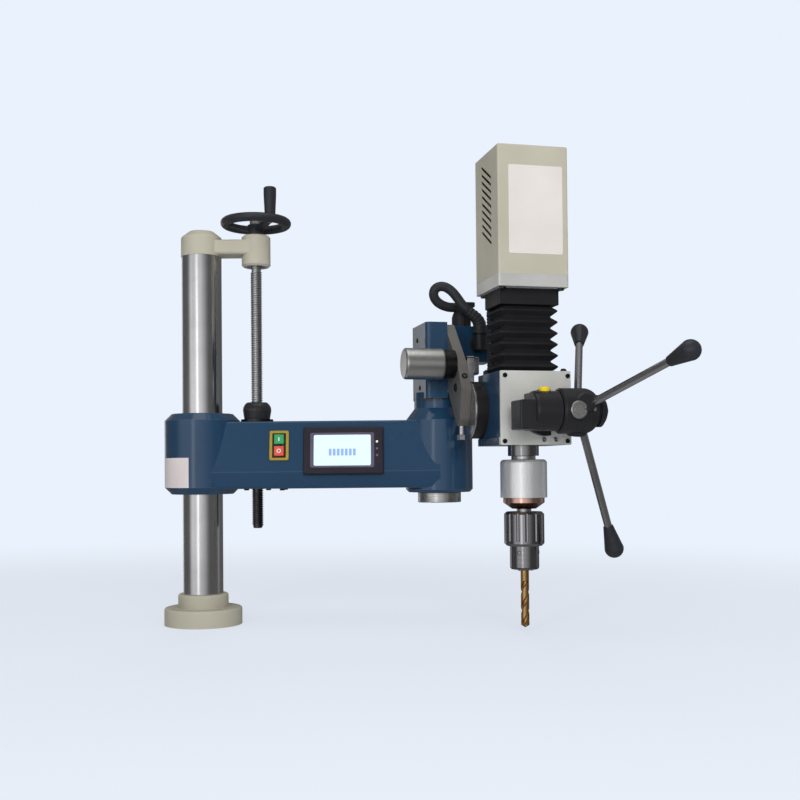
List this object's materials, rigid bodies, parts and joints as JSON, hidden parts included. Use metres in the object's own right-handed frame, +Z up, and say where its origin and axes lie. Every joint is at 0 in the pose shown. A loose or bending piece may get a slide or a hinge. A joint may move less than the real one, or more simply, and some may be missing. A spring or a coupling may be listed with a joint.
{
  "type": "drilling tapping machine",
  "caption": "Column-mounted arm drilling and tapping machine: a handwheel screw lifts the cast arm, and a swivelling, tilting servo head feeds a chuck by a lever capstan.",
  "frame": {"origin": "column axis on the underside of the base flange, where it is bolted down", "axes": "+Z up along the column, +X from the column along the arm, +Y to the back, away from the operator"},
  "size_m": [0.8359, 0.5072, 0.791],
  "materials": {
    "cream_paint": "semi-gloss stoved paint",
    "blue_paint": "semi-gloss enamel on cast iron",
    "grey_paint": "satin paint",
    "black_paint": "satin black enamel",
    "column_steel": "ground and hard chromed",
    "bright_steel": "turned and ground",
    "dark_steel": "blackened",
    "chrome": "polished",
    "stainless": "brushed sheet",
    "aluminium": "turned",
    "grey_casting": "bead blasted",
    "bronze": "machined bronze",
    "copper_ring": "polished copper alloy",
    "gold_steel": "nitride coated",
    "black_plastic": "moulded",
    "black_rubber": "moulded",
    "screen_plastic": "moulded",
    "screen_glass": "lit display",
    "yellow_plate": "anodised",
    "yellow_plastic": "moulded",
    "green_plastic": "moulded",
    "red_plastic": "moulded"
  },
  "bodies": {
    "stand": {"base_flange": "cream_paint", "column": "column_steel"},
    "bracket": {"top_bracket": "cream_paint", "screw_bearings": "bright_steel"},
    "screw": {"lift_screw": "bright_steel", "handwheel": "black_paint", "handwheel_fasteners": "bright_steel"},
    "grip": {"wheel_grip": "black_plastic"},
    "arm": {"arm_casting": "blue_paint", "arm_bottom_cover": "blue_paint", "arm_bushes": "bronze", "clamp_bolts": "dark_steel", "lift_nut": "bronze", "nut_cover": "black_plastic", "screen_housing": "screen_plastic", "screen_display": "screen_glass", "switch_plate": "yellow_plate", "switch_block": "black_plastic"},
    "start": {"start_button": "green_plastic"},
    "stop": {"stop_button": "red_plastic"},
    "turret": {"turret_block": "blue_paint", "pivot_nut": "bright_steel", "cheek_plate": "grey_casting", "tilt_dial": "bright_steel", "tilt_shaft": "bright_steel", "index_bush": "dark_steel", "hose_glands": "black_plastic", "hose": "black_rubber"},
    "index_plunger": {"index_knob": "aluminium"},
    "head": {"tilt_drum": "black_paint", "index_lug": "bright_steel", "head_body": "blue_paint", "head_base_plate": "bright_steel", "front_plate": "stainless", "quill_bushes": "bronze", "feed_housing": "black_paint", "oil_plug": "yellow_plastic", "bellows": "black_rubber"},
    "capstan": {"capstan_hub": "black_paint", "pinion_shaft": "bright_steel", "clutch_button": "chrome", "lever_rods": "chrome", "lever_knobs": "black_plastic"},
    "idler": {"idler_gear": "bright_steel"},
    "spindle_unit": {"quill": "column_steel", "bellows_collar": "black_plastic", "motor_base": "grey_paint", "motor_cover": "cream_paint", "servo_motor": "black_paint", "spindle_bearings": "bright_steel"},
    "spindle": {"spindle_shaft": "bright_steel", "tapping_chuck": "bright_steel", "collet_ring": "copper_ring", "chuck_body": "bright_steel", "drill_bit": "gold_steel"},
    "quick_sleeve": {"quick_change_sleeve": "bright_steel"},
    "chuck_ring": {"chuck_sleeve": "dark_steel"},
    "jaw_1": {"chuck_jaw_1": "bright_steel"},
    "jaw_2": {"chuck_jaw_2": "bright_steel"},
    "jaw_3": {"chuck_jaw_3": "bright_steel"}
  },
  "joints": [
    {"name": "arm_swing", "type": "hinge", "parent": "stand", "child": "bracket", "pos_m": [0, 0, 0.649], "axis": [0, 0, 1], "range_deg": [-180, 180]},
    {"name": "screw_turn", "type": "hinge", "parent": "bracket", "child": "screw", "pos_m": [0.097, 0, 0.65], "axis": [0, 0, 1], "range_deg": [-19810, 9010]},
    {"name": "grip_spin", "type": "hinge", "parent": "screw", "child": "grip", "pos_m": [0.12668, -0.04086, 0.74], "axis": [0, 0, 1], "continuous": true},
    {"name": "arm_lift", "type": "slide", "parent": "bracket", "child": "arm", "axis": [0, 0, 1], "range_m": [-0.1, 0.22]},
    {"name": "start_press", "type": "slide", "parent": "arm", "child": "start", "axis": [0, 0.9797, -0.2004], "range_m": [0, 0.003], "stiffness_N_per_m": 400},
    {"name": "stop_press", "type": "slide", "parent": "arm", "child": "stop", "axis": [0, 0.9797, -0.2004], "range_m": [0, 0.003], "stiffness_N_per_m": 400},
    {"name": "head_swivel", "type": "hinge", "parent": "arm", "child": "turret", "pos_m": [0.419, 0, 0.3], "axis": [0, 0, 1], "range_deg": [-70, 75]},
    {"name": "index_pull", "type": "slide", "parent": "turret", "child": "index_plunger", "axis": [-0.974, -0.2267, 0], "range_m": [0, 0.01], "stiffness_N_per_m": 900},
    {"name": "head_tilt", "type": "hinge", "parent": "turret", "child": "head", "pos_m": [0.47471, -0.09381, 0.368], "axis": [0.974, 0.2267, 0], "range_deg": [-15, 90]},
    {"name": "feed", "type": "slide", "parent": "head", "child": "spindle_unit", "axis": [0, 0, -1], "range_m": [0, 0.07], "deforming": ["bellows"]},
    {"name": "capstan_turn", "type": "hinge", "parent": "head", "child": "capstan", "pos_m": [0.6272, -0.2108, 0.359], "axis": [0.974, 0.2267, 0], "range_deg": [-0.5, 161]},
    {"name": "idler_turn", "type": "hinge", "parent": "head", "child": "idler", "pos_m": [0.56368, -0.17168, 0.359], "axis": [0.974, 0.2267, 0], "range_deg": [-146.5, 0.5]},
    {"name": "spindle_spin", "type": "hinge", "parent": "spindle_unit", "child": "spindle", "pos_m": [0.55257, -0.12395, 0.3], "axis": [0, 0, 1], "continuous": true},
    {"name": "quick_release", "type": "slide", "parent": "spindle", "child": "quick_sleeve", "axis": [0, 0, 1], "range_m": [0, 0.0045], "stiffness_N_per_m": 1500, "springref_m": -0.01},
    {"name": "chuck_turn", "type": "hinge", "parent": "spindle", "child": "chuck_ring", "pos_m": [0.55257, -0.12395, 0.17], "axis": [0, 0, 1], "range_deg": [-1, 721]},
    {"name": "jaw_1_slide", "type": "slide", "parent": "spindle", "child": "jaw_1", "axis": [-0.0471, 0.2025, 0.9781], "range_m": [0, 0.005]},
    {"name": "jaw_2_slide", "type": "slide", "parent": "spindle", "child": "jaw_2", "axis": [-0.1518, -0.1421, 0.9781], "range_m": [-0.0001, 0.0051]},
    {"name": "jaw_3_slide", "type": "slide", "parent": "spindle", "child": "jaw_3", "axis": [0.1989, -0.0604, 0.9781], "range_m": [-0.0001, 0.0051]}
  ],
  "couplings": [
    {"joint": "screw_turn", "follows": "arm_lift", "rad_per_m": -1570.8},
    {"joint": "capstan_turn", "follows": "feed", "rad_per_m": 40},
    {"joint": "idler_turn", "follows": "feed", "rad_per_m": -36.364},
    {"joint": "chuck_turn", "follows": "jaw_1_slide", "rad_per_m": 2513.3},
    {"joint": "jaw_2_slide", "follows": "jaw_1_slide", "ratio": 1},
    {"joint": "jaw_3_slide", "follows": "jaw_1_slide", "ratio": 1}
  ]
}
